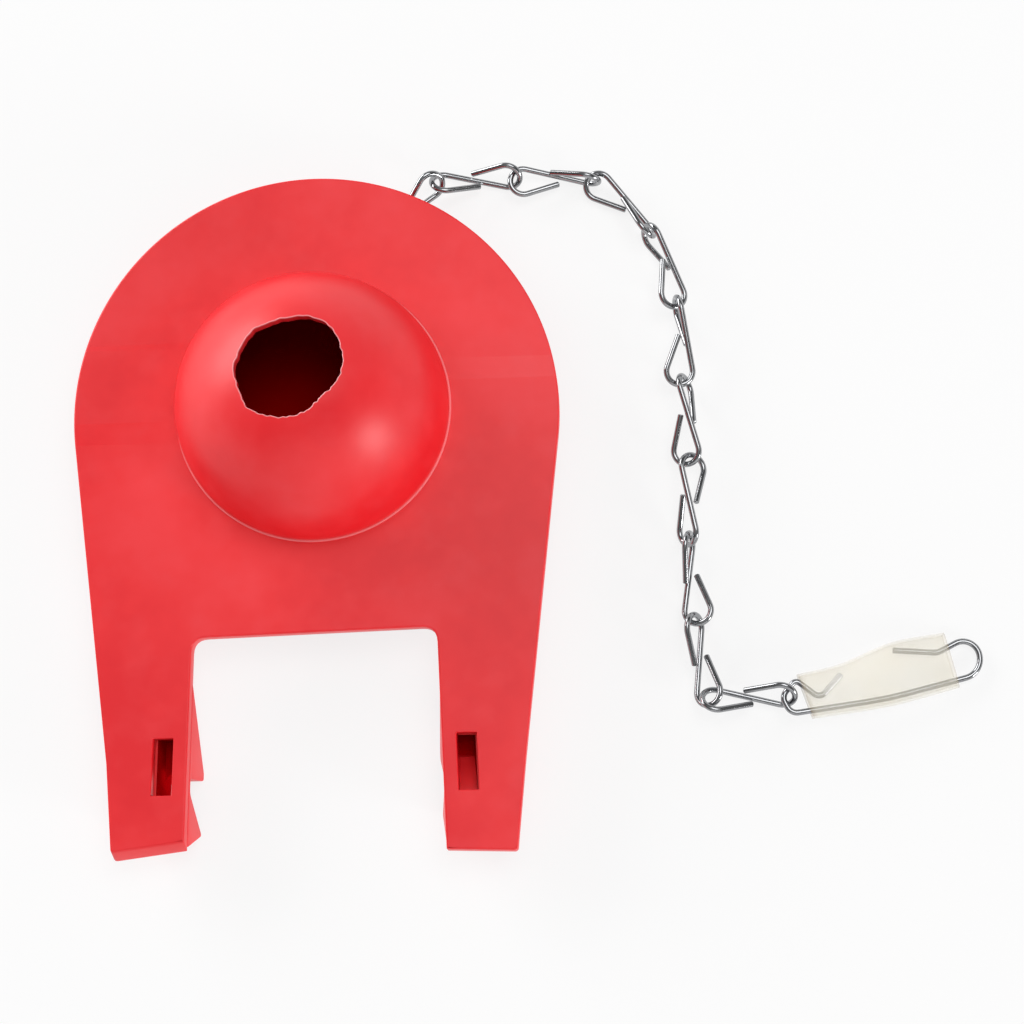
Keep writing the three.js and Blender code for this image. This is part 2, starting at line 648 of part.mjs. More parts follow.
// A solid whose rings follow one another back to the first, as in a tube with a wall
function closedTube(rings) {
  const count = rings[0].length;
  const index = [];
  rings.forEach((_, r) => {
    const next = (r + 1) % rings.length;
    for (let i = 0; i < count; i++) {
      const j = (i + 1) % count;
      index.push(r * count + i, r * count + j, next * count + j);
      index.push(r * count + i, next * count + j, next * count + i);
    }
  });
  const geometry = new THREE.BufferGeometry();
  const positions = rings.flat().flatMap((p) => p.toArray());
  geometry.setAttribute("position", new THREE.Float32BufferAttribute(positions, 3));
  geometry.setIndex(index);
  geometry.computeVertexNormals();
  return geometry;
}

function placeClip(group, chainEnd) {
  const holder = new THREE.Group();
  holder.position.copy(nextStart(chainEnd, CHAIN_LAY.at(-1).heading, CLIP_LAY));
  holder.rotation.set(0, Math.asin(CLIP_DROP / CLIP_SPAN), rad(CLIP_LAY.heading), "ZYX");
  const clip = new THREE.Mesh(wireAlong(clipPath(), CLIP_WIRE), new THREE.MeshStandardMaterial(STEEL));
  clip.name = "chain_clip";
  const sleeve = new THREE.Mesh(makeSleeveGeometry(), new THREE.MeshStandardMaterial(VINYL));
  sleeve.name = "clip_sleeve";
  holder.add(clip, sleeve);
  group.add(holder);
}

const assembly = new THREE.Group();
const body = new THREE.Mesh(geometryOf(makeFlapperBody()), new THREE.MeshStandardMaterial(RUBBER));
body.name = "flapper_body";
assembly.add(body);
placeClip(assembly, placeChain(assembly));

// The origin goes to the base centre of the whole part
const box = new THREE.Box3().setFromObject(assembly, true);
const centre = box.getCenter(new THREE.Vector3());
assembly.position.set(-centre.x, -centre.y, -box.min.z);

const flapper = new THREE.Group();
flapper.add(assembly);

export default flapper;
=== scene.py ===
# A toilet flapper on its back, bulb up, with its lift chain and sleeved wire clip laid out beside it.
# Shapes are worked out in the part's own millimetres, with z = 0 on the plate's upper face and the bulb's
# axis on the Z axis, and are moved to the frame's metres as they are made.
import math

import bmesh
import bpy
from mathutils import Matrix, Vector, geometry


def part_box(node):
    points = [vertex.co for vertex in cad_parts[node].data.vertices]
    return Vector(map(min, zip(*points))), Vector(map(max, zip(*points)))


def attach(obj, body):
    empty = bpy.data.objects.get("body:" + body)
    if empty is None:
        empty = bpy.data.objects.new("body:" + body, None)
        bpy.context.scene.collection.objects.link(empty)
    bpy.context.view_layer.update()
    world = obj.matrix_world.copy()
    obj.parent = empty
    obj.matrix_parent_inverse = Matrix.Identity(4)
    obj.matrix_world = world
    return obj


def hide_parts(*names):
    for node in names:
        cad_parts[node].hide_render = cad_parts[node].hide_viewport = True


MM = 0.001

# Plate. Each arm's cut end: its outer and inner Y, its lean towards the back, its edge's bend aside
DISC_RADIUS = 38.7
DISC_CENTRE = (0.3, -1.3)
PLATE_THICKNESS = 3.0
LEFT_TAPER = math.radians(6.3)
RIGHT_TAPER = math.radians(6.75)
EDGE_ROUND = 0.3
GAP_TOP_Y = -36.2
GAP_TOP_SKEW = 1.0
GAP_HALF_WIDTH = 19.25
GAP_FLARE = math.radians(1.85)
GAP_CORNER_RADIUS = 2.4
ARM_END_CHAMFER = 1.0
LEFT_END = (-69.75, -68.3, 1.4, 0.7)
RIGHT_END = (-70.45, -70.1, 0.2, 0.2)
SPREAD_TOP_Y = -56.0
ARM_CORNER_RADIUS = 0.2
# How far above an arm's cut end its lean is still felt
END_REACH = 0.8
# A corner is moved inwards by no more than its edge over this
MITRE_LIMIT = 0.35

# Bulb, with how far its hole's edge lies from the hole's centre, round in equal steps from +X
BULB_RADIUS = 21.65
BULB_RADIUS_Y = 21.2
BULB_CENTRE_Y = -0.45
BULB_HEIGHT = 24.0
BULB_WALL = 2.0
BULB_FLOOR = 2.2
BEAD_SIZE = 0.35
HOLE_CENTRE = (-0.7, 1.3)
HOLE_REACH = (8.2, 8.4, 8.7, 8.4, 7.7, 7.6, 8.1, 8.0, 8.4, 8.2, 8.7, 8.2, 7.9, 7.6, 7.1, 7.7)
# The hole's fine ripple: the height, number and phase of each wave round the edge
HOLE_RIPPLES = ((0.05, 17, 2), (0.05, 29, 0.5), (0.03, 43, 0))
# The bulb's foot, sunk in the plate, and the rounding of the moulding line's top
FOOT_DEPTH = 0.4
FOOT_FLARE = 0.1
BEAD_ROUND = 0.12
# Where the ripped lip's rounding starts and crests on the outer face, with painted highlight on that crest,
# then its points: out, down and painted highlight mark
LIP_START = 0.2
LIP_CREST = 0.08
CREST_MARK = 0.6
LIP_POINTS = ((-0.03, 0.08, 1.0), (-0.02, 0.25, 0.3))
LIP_SPREAD = 0.02
RECESS_PLAY = 0.05
RECESS_TOP = 1.0
BULB_SIDES = 288
BULB_ROWS = 48

# Ears and their windows
EAR_WIDTH = 8.3
EAR_DEPTH = 9.0
EAR_RAMP_Y = -46.0
EAR_LEAN = 1.45
LEFT_EAR_DRAG = 0.0
RIGHT_EAR_DRAG = 2.6
HOOK_WALL_Y = -58.5
HOOK_WIDTH = 8.6
JAW_LENGTH = 1.2
JAW_RADIUS = 0.5
SEAT_LENGTH = 2.2
JAW_END_LENGTH = 1.9
SLOT_WIDTH = 3.15
SLOT_TOP_Y = -52.3
SLOT_BOTTOM_Y = -61.1
SLOT_INSET = 2.3
SLOT_DEPTH = 6.2
SLOT_ARCH = 3.7
SLOT_CORNER_RADIUS = 0.12
SLOT_EDGE_ROUND = 0.14
SLOT_WALL_REACH = 0.2
EAR_EDGE_ROUND = 0.25
EAR_SHARP_ANGLE = math.radians(28)
# How deep an ear or the tab is sunk into the plate, and how far a cutter runs past what it cuts
JOIN_DEPTH = 0.6
CUT_PAST = 1.0
WINDOW_PLAY = 0.06

# The skin in the right window is painted shade: a sheet of rubber where there is only the floor in shade,
# reddened by light off the rubber. Its run and drop from the window's foot, and its two faces
WEB_RUN = 4.3
WEB_DROP = 2.9
WEB_CURVE = 1.3
WEB_ABOVE = 0.35
WEB_BELOW = 0.25
WEB_PLAY = 0.03
WEB_OVERLAP = 0.05
WEB_TOP = 0.1
WEB_ROWS = 12

# Chain tab
TAB_THICKNESS = 1.7
TAB_LENGTH = 15.0
TAB_EDGE_Y = 31.2
TAB_HOLE_RADIUS = 2.0
TAB_HOLE_LAND = 1.1
TAB_CORNER_RADIUS = 2.0
TAB_EDGE_ROUND = 0.4

# Chain
WIRE = 0.95
LINK_LENGTH = 15.0
LOOP_RADIUS = 2.13
TAIL_OVERLAP = 0.9
TAIL_CLEARANCE = 0.25
CHAIN_Z = 2.4 - EAR_DEPTH
WIRE_SIDES = 20
# A wire's cut end: how far its rounding runs, and the share of the width that is left
CUT_ROUND = 0.12
CUT_SHARE = 0.72
# The first link's start lies this share of a loop's radius behind the tab
FIRST_BACK = 0.7
# heading, roll, back, side, lift of each link, from the tab on
CHAIN_LAY = (
    (-10, 155, 0, 0, 0),
    (47, 140, 1.4, 0.15, 0.15),
    (-1, 142, 1.5, 0.3, 0),
    (-4, 180, 1.5, 0, 0),
    (-46, 203, 1.6, 0.3, 0),
    (-71, 243, 1.9, 0, 0.45),
    (-88, 260, 1.5, 0, 0),
    (-86, 294, 1.4, 0, 0),
    (-91, 325, 1.4, 0, 0),
    (-88, 466, 1.7, 0, 0),
    (-84, 483, 1.4, 0, 0),
    (-2, 500, 1.5, 0.45, 0.3),
)
CLIP_LAY = (11, 0, 1.45, 0.15, 0)

# Clip and sleeve
CLIP_DROP = 2.45
CLIP_SPAN = 31.4
# The hook's corners from its free end on: along, across, and the radius of the bend
CLIP_HOOK = ((9.4, 1.8, 0), (5.3, -1.2, 1.3), (2.2, 2.4, 0.8), (-0.5, 0.3, 1.6), (0.3, -2.6, 1.7))
HALF_HOOK = 2.6
CLIP_BEND_RADIUS = 3.2
CLIP_BOW = 0.8
CLIP_BOW_RADIUS = 60
CLIP_RETURN = 13.2
CLIP_KINK = 1.8
CLIP_KINK_RADIUS = 2
# The wide bend's two corners, as shares of its radius
CLIP_LOWER_TURN = 0.97
CLIP_UPPER_TURN = 0.8
SLEEVE_WALL = 0.35
SLEEVE_THICKNESS = 2.3
SLEEVE_START = 3.0
SLEEVE_END = 27.0
SLEEVE_PLAY = 0.45
SLEEVE_STATIONS = 60
SLEEVE_SIDES = 64

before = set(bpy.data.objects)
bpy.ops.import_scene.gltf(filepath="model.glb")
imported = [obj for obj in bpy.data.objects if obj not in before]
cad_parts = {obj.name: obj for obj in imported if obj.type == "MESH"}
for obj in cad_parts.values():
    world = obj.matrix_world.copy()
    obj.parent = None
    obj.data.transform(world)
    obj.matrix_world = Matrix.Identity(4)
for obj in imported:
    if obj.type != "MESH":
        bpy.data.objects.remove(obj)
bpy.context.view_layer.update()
body_low, body_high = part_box("flapper_body")
SHIFT = Vector((
    (body_low.x + body_high.x) / 2 - DISC_CENTRE[0] * MM,
    body_high.y - (DISC_CENTRE[1] + DISC_RADIUS) * MM,
    body_low.z + EAR_DEPTH * MM,
))


def row_place(point):
    """A build point in millimetres as a row point in metres."""
    return Vector(point) * MM + SHIFT


def make_object(name, verts, faces, material, smooth_deg):
    """An object with smooth shading, but for edges sharper than this angle and for level caps that don't have
    four corners.
    """
    mesh = bpy.data.meshes.new(name)
    mesh.from_pydata([row_place(v) for v in verts], [], faces)
    mesh.validate()
    mesh.polygons.foreach_set("use_smooth", [True] * len(mesh.polygons))
    mesh.set_sharp_from_angle(angle=math.radians(smooth_deg))
    for polygon in mesh.polygons:
        if len(polygon.vertices) != 4 and max(abs(v) for v in polygon.normal) > 0.9999:
            polygon.use_smooth = False
    mesh.materials.append(material)
    obj = bpy.data.objects.new(name, mesh)
    bpy.context.scene.collection.objects.link(obj)
    return obj


# Materials


def new_material(name):
    material = bpy.data.materials.new(name)
    material.use_nodes = True
    nodes, links = material.node_tree.nodes, material.node_tree.links
    return material, nodes, links, nodes["Principled BSDF"]


def noise_node(nodes, links, scale, detail, roughness=0.5):
    coords = nodes.new("ShaderNodeTexCoord")
    texture = nodes.new("ShaderNodeTexNoise")
    texture.inputs["Scale"].default_value = scale
    texture.inputs["Detail"].default_value = detail
    texture.inputs["Roughness"].default_value = roughness
    links.new(coords.outputs["Object"], texture.inputs["Vector"])
    return texture.outputs["Fac"]


def ramp_node(nodes, links, factor, stops):
    ramp = nodes.new("ShaderNodeValToRGB")
    elements = ramp.color_ramp.elements
    while len(elements) < len(stops):
        elements.new(0.5)
    for element, (position, colour) in zip(elements, stops):
        element.position = position
        element.color = (*colour, 1.0)
    links.new(factor, ramp.inputs["Fac"])
    return ramp.outputs["Color"]


def mix_node(nodes, links, factor, colour, target):
    """The colour socket, turned to the target colour as far as the factor socket says."""
    mix = nodes.new("ShaderNodeMix")
    mix.data_type = "RGBA"
    links.new(factor, mix.inputs["Factor"])
    first, second = [i for i in mix.inputs if i.type == "RGBA"]
    links.new(colour, first)
    second.default_value = (*target, 1.0)
    return [o for o in mix.outputs if o.type == "RGBA"][0]


def bump_chain(nodes, links, shader, layers):
    normal = None
    for height, strength, distance in layers:
        bump = nodes.new("ShaderNodeBump")
        bump.inputs["Strength"].default_value = strength
        bump.inputs["Distance"].default_value = distance
        links.new(height, bump.inputs["Height"])
        if normal is not None:
            links.new(normal, bump.inputs["Normal"])
        normal = bump.outputs["Normal"]
    links.new(normal, shader.inputs["Normal"])


def rubber_material():
    material, nodes, links, shader = new_material("red_rubber")
    clouds = noise_node(nodes, links, 45, 4, 0.6)
    streaks = noise_node(nodes, links, 150, 3, 0.55)
    grain = noise_node(nodes, links, 900, 3)
    body = ramp_node(nodes, links, clouds, [
        (0.34, (0.80, 0.008, 0.015)), (0.5, (0.86, 0.016, 0.022)), (0.66, (0.89, 0.030, 0.038))])
    bloom = ramp_node(nodes, links, streaks, [(0.5, (0.0, 0.0, 0.0)), (0.75, (0.3, 0.3, 0.3))])
    body = mix_node(nodes, links, bloom, body, (0.88, 0.05, 0.06))
    # Painted highlight: a pale pink along the crests of the moulding line and of the hole's lip
    painted_crest_highlight = nodes.new("ShaderNodeAttribute")
    painted_crest_highlight.attribute_name = "painted_crest_highlight"
    body = mix_node(nodes, links, painted_crest_highlight.outputs["Fac"], body, (0.98, 0.40, 0.42))
    links.new(body, shader.inputs["Base Color"])
    gloss = nodes.new("ShaderNodeMapRange")
    gloss.inputs["To Min"].default_value = 0.34
    gloss.inputs["To Max"].default_value = 0.5
    links.new(clouds, gloss.inputs["Value"])
    links.new(gloss.outputs["Result"], shader.inputs["Roughness"])
    bump_chain(nodes, links, shader, [(grain, 0.12, 0.00008), (clouds, 0.12, 0.0004)])
    return material


def painted_shade_rubber_material(name, low, high):
    """Painted shade: the rubber made darker and without sheen, standing in for the shade inside a hollow."""
    material, nodes, links, shader = new_material(name)
    clouds = noise_node(nodes, links, 60, 3)
    tone = ramp_node(nodes, links, clouds, [(0.3, low), (0.7, high)])
    links.new(tone, shader.inputs["Base Color"])
    shader.inputs["Roughness"].default_value = 0.9
    shader.inputs["Specular IOR Level"].default_value = 0.0
    return material


def steel_material():
    material, nodes, links, shader = new_material("steel_wire")
    drawn = noise_node(nodes, links, 700, 3)
    colour = ramp_node(nodes, links, drawn, [(0.3, (0.29, 0.295, 0.305)), (0.7, (0.35, 0.355, 0.365))])
    links.new(colour, shader.inputs["Base Color"])
    shader.inputs["Metallic"].default_value = 1.0
    shader.inputs["Roughness"].default_value = 0.14
    bump_chain(nodes, links, shader, [(drawn, 0.02, 0.00002)])
    return material


def vinyl_material():
    material, nodes, links, shader = new_material("clear_vinyl")
    cloud = noise_node(nodes, links, 160, 3)
    rim = nodes.new("ShaderNodeAttribute")
    rim.attribute_name = "rim"
    tint = ramp_node(nodes, links, cloud, [(0.3, (0.96, 0.89, 0.70)), (0.7, (0.99, 0.95, 0.82))])
    colour = mix_node(nodes, links, rim.outputs["Fac"], tint, (0.50, 0.38, 0.20))
    links.new(colour, shader.inputs["Base Color"])
    shader.inputs["Roughness"].default_value = 0.2
    shader.inputs["Alpha"].default_value = 0.2
    bump_chain(nodes, links, shader, [(cloud, 0.25, 0.0004)])
    return material


RUBBER = rubber_material()
# Painted shade: darker copies of the red rubber for the inside of the bulb and the walls of the windows
PAINTED_SHADE_MATERIALS = [
    painted_shade_rubber_material("red_rubber_bulb_inside_painted_shade", (0.30, 0.0004, 0.0), (0.36, 0.001, 0.0)),
    painted_shade_rubber_material("red_rubber_window_inside_painted_shade", (0.40, 0.0, 0.002), (0.50, 0.002, 0.004)),
]
# The moulding's material slots, with its outer rubber at 0 and the painted shade of the bulb's inside and of
# the windows' walls after it
BULB_PAINTED_SHADE = 1
WINDOW_PAINTED_SHADE = 2
STEEL = steel_material()
VINYL = vinyl_material()


# Rubber moulding


def gap_edge_x(y):
    return GAP_HALF_WIDTH + (GAP_TOP_Y - y) * math.tan(GAP_FLARE)


def side_reach(y, taper):
    """How far a straight side is from the disc's centre line, as a tangent to the disc."""
    touch_y = DISC_CENTRE[1] - DISC_RADIUS * math.sin(taper)
    return DISC_RADIUS * math.cos(taper) + (y - touch_y) * math.tan(taper)


def right_side_x(y):
    return DISC_CENTRE[0] + side_reach(y, RIGHT_TAPER)


def left_side_x(y):
    return DISC_CENTRE[0] - side_reach(y, LEFT_TAPER)


def rounded_outline(corners, steps=6):
    """Points through corners (x, y, radius), each corner turned by a smooth curve of its radius."""
    points = []
    count = len(corners)
    for i, corner in enumerate(corners):
        here = Vector(corner[:2])
        radius = corner[2] if len(corner) > 2 else 0
        if radius <= 0:
            points.append(here)
            continue
        before = (Vector(corners[i - 1][:2]) - here).normalized()
        after = (Vector(corners[(i + 1) % count][:2]) - here).normalized()
        half = math.acos(max(-1, min(1, before.dot(after)))) / 2
        reach = radius / math.tan(half)
        start, end = here + before * reach, here + after * reach
        for s in range(steps + 1):
            t = s / steps
            points.append(start * (1 - t) ** 2 + here * 2 * t * (1 - t) + end * t * t)
    return points


def densify(points, longest):
    """The same closed outline with no step longer than this, so that bends and shading stay even."""
    dense = []
    for i, p in enumerate(points):
        q = points[(i + 1) % len(points)]
        steps = max(1, math.ceil((q - p).length / longest))
        dense += [p.lerp(q, s / steps) for s in range(steps)]
    return dense


def plate_outline():
    top_left, top_right = GAP_TOP_Y - GAP_TOP_SKEW / 2, GAP_TOP_Y + GAP_TOP_SKEW / 2
    chamfer = 2 * ARM_END_CHAMFER / 3
    sweep = math.pi + RIGHT_TAPER + LEFT_TAPER
    steps = 150
    corners = [(right_side_x(RIGHT_END[0]) + RIGHT_END[3], RIGHT_END[0], chamfer)]
    corners += [(right_side_x(SPREAD_TOP_Y), SPREAD_TOP_Y)]
    for s in range(steps + 1):
        angle = -RIGHT_TAPER + sweep * s / steps
        x, y = DISC_RADIUS * math.cos(angle), DISC_RADIUS * math.sin(angle)
        corners.append((DISC_CENTRE[0] + x, DISC_CENTRE[1] + y))
    corners += [(left_side_x(SPREAD_TOP_Y), SPREAD_TOP_Y)]
    corners += [(left_side_x(LEFT_END[0]) - LEFT_END[3], LEFT_END[0], chamfer)]
    corners += [(-gap_edge_x(LEFT_END[1]), LEFT_END[1], ARM_CORNER_RADIUS)]
    corners += [(-gap_edge_x(top_left), top_left, GAP_CORNER_RADIUS)]
    corners += [(gap_edge_x(top_right), top_right, GAP_CORNER_RADIUS)]
    corners += [(gap_edge_x(RIGHT_END[1]), RIGHT_END[1], ARM_CORNER_RADIUS)]
    return rounded_outline(corners)


def offset_outline(points, inset):
    """The closed outline moved inwards, for an outline that runs anticlockwise."""
    moved = []
    count = len(points)
    for i, p in enumerate(points):
        a = (p - points[i - 1]).normalized()
        b = (points[(i + 1) % count] - p).normalized()
        normal_a, normal_b = Vector((-a.y, a.x)), Vector((-b.y, b.x))
        middle = (normal_a + normal_b).normalized()
        moved.append(p + middle * inset / max(MITRE_LIMIT, middle.dot(normal_a)))
    return moved


def end_slant(point, z):
    """How far an arm's cut end leans at this depth, and 0 away from the ends."""
    end = LEFT_END if point.x < 0 else RIGHT_END
    if point.y > end[1] + END_REACH:
        return 0.0
    return end[2] * z / PLATE_THICKNESS


def slab(outlines, thickness, edges, slanted=False):
    """A flat solid below z = 0 with rounded rims: outlines[0] runs anticlockwise, holes clockwise."""
    levels = []
    steps = 4
    for s in range(steps + 1):
        angle = math.pi / 2 * s / steps
        levels.append((1 - math.sin(angle), -thickness + edges[0] * (1 - math.cos(angle))))
    levels += [(share, -thickness - z) for share, z in reversed(levels)]
    verts, faces = [], []
    rings = []
    for share, z in levels:
        level = []
        for outline, edge in zip(outlines, edges):
            ring = []
            for p in offset_outline(outline, edge * share):
                shift = end_slant(p, z) if slanted else 0.0
                ring.append(len(verts))
                verts.append((p.x, p.y + shift, z))
            level.append(ring)
        rings.append(level)
    for low, high in zip(rings, rings[1:]):
        for a, b in zip(low, high):
            for i in range(len(a)):
                j = (i + 1) % len(a)
                faces.append((a[i], a[j], b[j], b[i]))
    for level, upward in ((rings[0], False), (rings[-1], True)):
        flat = [[Vector((verts[i][0], verts[i][1], 0)) for i in ring] for ring in level]
        order = [i for ring in level for i in ring]
        for tri in geometry.tessellate_polygon(flat):
            a, b, c = (Vector(verts[order[k]][:2]) for k in tri)
            turn = (b - a).cross(c - a)
            tri = tri if (turn > 0) == upward else tri[::-1]
            faces.append(tuple(order[k] for k in tri))
    return verts, faces


EAR_INNER_X = GAP_HALF_WIDTH + GAP_TOP_Y * math.tan(GAP_FLARE)
SLOT_INNER = EAR_INNER_X + SLOT_INSET
SLOT_OUTER = SLOT_INNER + SLOT_WIDTH


def slot_outline():
    lean = math.tan(GAP_FLARE)
    top, bottom = SLOT_TOP_Y, SLOT_BOTTOM_Y
    square = ((SLOT_INNER, top), (SLOT_OUTER, top), (SLOT_OUTER, bottom), (SLOT_INNER, bottom))
    corners = [(x - y * lean, y, SLOT_CORNER_RADIUS) for x, y in square]
    return densify(rounded_outline(corners, 3), 1.0)


def mirror_outline(points):
    return [Vector((-p.x, p.y)) for p in reversed(points)]


def make_plate_mesh():
    """The plate with its two windows, and the recess under the bulb."""
    right = slot_outline()
    outline = densify(plate_outline(), 1.5)
    edges = (EDGE_ROUND, SLOT_EDGE_ROUND, SLOT_EDGE_ROUND)
    plate = temp_object(*slab([outline, right, mirror_outline(right)], PLATE_THICKNESS, edges, slanted=True))
    sides = BULB_SIDES // 2
    ring = [(BULB_RADIUS - BULB_WALL + RECESS_PLAY, 2 * math.pi * k / sides) for k in range(sides)]
    recess = prism(ring, BULB_FLOOR - PLATE_THICKNESS - RECESS_PLAY, RECESS_TOP, bulb_point)
    plate = boolean(plate, temp_object(*recess), "DIFFERENCE")
    verts = [tuple(vertex.co) for vertex in plate.data.vertices]
    faces = [tuple(polygon.vertices) for polygon in plate.data.polygons]
    bpy.data.objects.remove(plate)
    return verts, faces


def temp_object(verts, faces):
    """An object in build millimetres, for the booleans only."""
    mesh = bpy.data.meshes.new("cut")
    mesh.from_pydata(verts, [], faces)
    mesh.validate()
    work = bmesh.new()
    work.from_mesh(mesh)
    bmesh.ops.recalc_face_normals(work, faces=work.faces)
    work.to_mesh(mesh)
    work.free()
    obj = bpy.data.objects.new("cut", mesh)
    bpy.context.scene.collection.objects.link(obj)
    return obj


def prism(points, low, high, place):
    """A straight prism over an outline; place turns (u, v, w) into a build point."""
    count = len(points)
    verts = [place(p[0], p[1], w) for w in (low, high) for p in points]
    faces = [tuple(range(count))[::-1], tuple(range(count, 2 * count))]
    for i in range(count):
        j = (i + 1) % count
        faces.append((i, j, j + count, i + count))
    return verts, faces


def ear_lean(x, y, z, drag):
    """Ears lean inwards with depth, and a foot that is dragged along slopes towards the plate."""
    slope = drag / (EAR_DEPTH - PLATE_THICKNESS)
    return (x - y * math.tan(GAP_FLARE) + z * EAR_LEAN / EAR_DEPTH, y - slope * (z + PLATE_THICKNESS), z)


def ear_across(x, y, z):
    """About the x, on either side, that ear_lean put this point in its place from."""
    return abs(x) + y * math.tan(GAP_FLARE) - z * EAR_LEAN / EAR_DEPTH


EAR_BURIED = -PLATE_THICKNESS + JOIN_DEPTH


def ear_outline():
    end = HOOK_WALL_Y - HOOK_WIDTH
    return rounded_outline([
        (EAR_RAMP_Y - EAR_BURIED, EAR_BURIED),
        (HOOK_WALL_Y + JAW_LENGTH, -EAR_DEPTH, JAW_RADIUS),
        (HOOK_WALL_Y, -EAR_DEPTH, JAW_RADIUS),
        (HOOK_WALL_Y, -PLATE_THICKNESS, JAW_RADIUS),
        (HOOK_WALL_Y - SEAT_LENGTH, -PLATE_THICKNESS, SEAT_LENGTH),
        (end, -EAR_DEPTH, JAW_RADIUS),
        (end - JAW_END_LENGTH, -PLATE_THICKNESS),
        (end - JAW_END_LENGTH + EDGE_ROUND, EAR_BURIED),
    ], 5)


def cheek_outline():
    end = HOOK_WALL_Y - HOOK_WIDTH
    return rounded_outline([
        (SLOT_TOP_Y, EAR_BURIED),
        (SLOT_TOP_Y, -SLOT_DEPTH, JAW_RADIUS),
        (HOOK_WALL_Y + JAW_LENGTH, -EAR_DEPTH, JAW_RADIUS),
        (end, -EAR_DEPTH, JAW_RADIUS),
        (end, EAR_BURIED),
    ], 5)


def boolean(obj, cutter, operation):
    modifier = obj.modifiers.new("cut", "BOOLEAN")
    modifier.operation = operation
    modifier.object = cutter
    modifier.solver = "EXACT"
    bpy.context.view_layer.update()
    graph = bpy.context.evaluated_depsgraph_get()
    result = bpy.data.meshes.new_from_object(obj.evaluated_get(graph))
    for item in (obj, cutter):
        bpy.data.objects.remove(item)
    joined = bpy.data.objects.new("cut", result)
    bpy.context.scene.collection.objects.link(joined)
    return joined


def slot_cutters(drag):
    """The pocket over the jaw and the arched mouth to the hook, a hair wider than the plate's window."""
    inner, outer = SLOT_INNER - WINDOW_PLAY, SLOT_OUTER + WINDOW_PLAY
    top, bottom = SLOT_TOP_Y + WINDOW_PLAY, SLOT_BOTTOM_Y - WINDOW_PLAY
    window = [(inner, top), (inner, bottom), (outer, bottom), (outer, top)]
    half, middle = (outer - inner) / 2, (inner + outer) / 2
    spring = SLOT_BOTTOM_Y + SLOT_ARCH - SLOT_WIDTH / 2
    arch = [(inner, bottom), (outer, bottom)]
    steps = 16
    for s in range(steps + 1):
        angle = math.pi * s / steps
        arch.append((middle + half * math.cos(angle), spring + half * math.sin(angle)))

    def place(x, y, z):
        return ear_lean(x, y, z, drag)

    pocket = prism(window, -SLOT_DEPTH, CUT_PAST, place)
    mouth = prism(arch, -EAR_DEPTH - CUT_PAST, -SLOT_DEPTH + CUT_PAST / 2, place)
    return temp_object(*pocket), temp_object(*mouth)


def make_ear_mesh(drag):
    """The right ear with its outer cheek, its window and its arched mouth, edges a little rounded."""
    start = EAR_INNER_X + EDGE_ROUND

    def place(y, z, x):
        return ear_lean(x, y, z, drag)

    ear = temp_object(*prism(ear_outline(), start, start + EAR_WIDTH, place))
    cheek = temp_object(*prism(cheek_outline(), SLOT_OUTER, start + EAR_WIDTH + 0.001, place))
    ear = boolean(ear, cheek, "UNION")
    for cutter in slot_cutters(drag):
        ear = boolean(ear, cutter, "DIFFERENCE")
    work = bmesh.new()
    work.from_mesh(ear.data)
    bmesh.ops.remove_doubles(work, verts=work.verts, dist=1e-4)
    sharp = []
    for edge in work.edges:
        middle = (edge.verts[0].co + edge.verts[1].co) / 2
        bent = len(edge.link_faces) == 2 and edge.calc_face_angle(0) > EAR_SHARP_ANGLE
        if bent and ear_across(*middle) < start + 0.05:
            sharp.append(edge)
    bmesh.ops.bevel(
        work, geom=sharp, offset=EAR_EDGE_ROUND, segments=2, affect="EDGES", profile=0.6, clamp_overlap=True)
    bmesh.ops.triangulate(work, faces=work.faces)
    work.verts.index_update()
    verts = [tuple(v.co) for v in work.verts]
    faces = [tuple(v.index for v in f.verts) for f in work.faces]
    work.free()
    bpy.data.objects.remove(ear)
    return verts, faces


def mirrored(verts, faces):
    return [(-x, y, z) for x, y, z in verts], [face[::-1] for face in faces]


def make_tab_mesh():
    hole_y = TAB_EDGE_Y - TAB_HOLE_LAND - TAB_HOLE_RADIUS
    hole_z = CHAIN_Z + LOOP_RADIUS / 2 * math.sin(math.radians(CHAIN_LAY[0][1]))
    outline = rounded_outline([
        (TAB_EDGE_Y, -PLATE_THICKNESS + JOIN_DEPTH),
        (TAB_EDGE_Y - TAB_LENGTH, -PLATE_THICKNESS + JOIN_DEPTH),
        (TAB_EDGE_Y - TAB_LENGTH + TAB_CORNER_RADIUS, -EAR_DEPTH, TAB_CORNER_RADIUS),
        (TAB_EDGE_Y, -EAR_DEPTH, TAB_CORNER_RADIUS),
    ], 8)
    sides = 40
    turns = [-2 * math.pi * k / sides for k in range(sides)]
    radius = TAB_HOLE_RADIUS
    hole = [Vector((hole_y + radius * math.cos(a), hole_z + radius * math.sin(a))) for a in turns]
    flat, faces = slab([densify(outline, 1.0), hole], TAB_THICKNESS, (TAB_EDGE_ROUND, TAB_EDGE_ROUND))
    return [(z + TAB_THICKNESS / 2, x, y) for x, y, z in flat], faces


def spline_point(p0, p1, p2, p3, t):
    """A point between p1 and p2 on the smooth curve through the four."""
    bend = (2 * p0 - 5 * p1 + 4 * p2 - p3) * t * t + (3 * p1 - p0 - 3 * p2 + p3) * t ** 3
    return 0.5 * (2 * p1 + (p2 - p0) * t + bend)


def closed_spline(knots, per_span):
    points = []
    count = len(knots)
    for i in range(count):
        near = [knots[(i + k) % count] for k in (-1, 0, 1, 2)]
        points += [spline_point(*near, s / per_span) for s in range(per_span)]
    return points


ROUND = BULB_RADIUS / BULB_RADIUS_Y


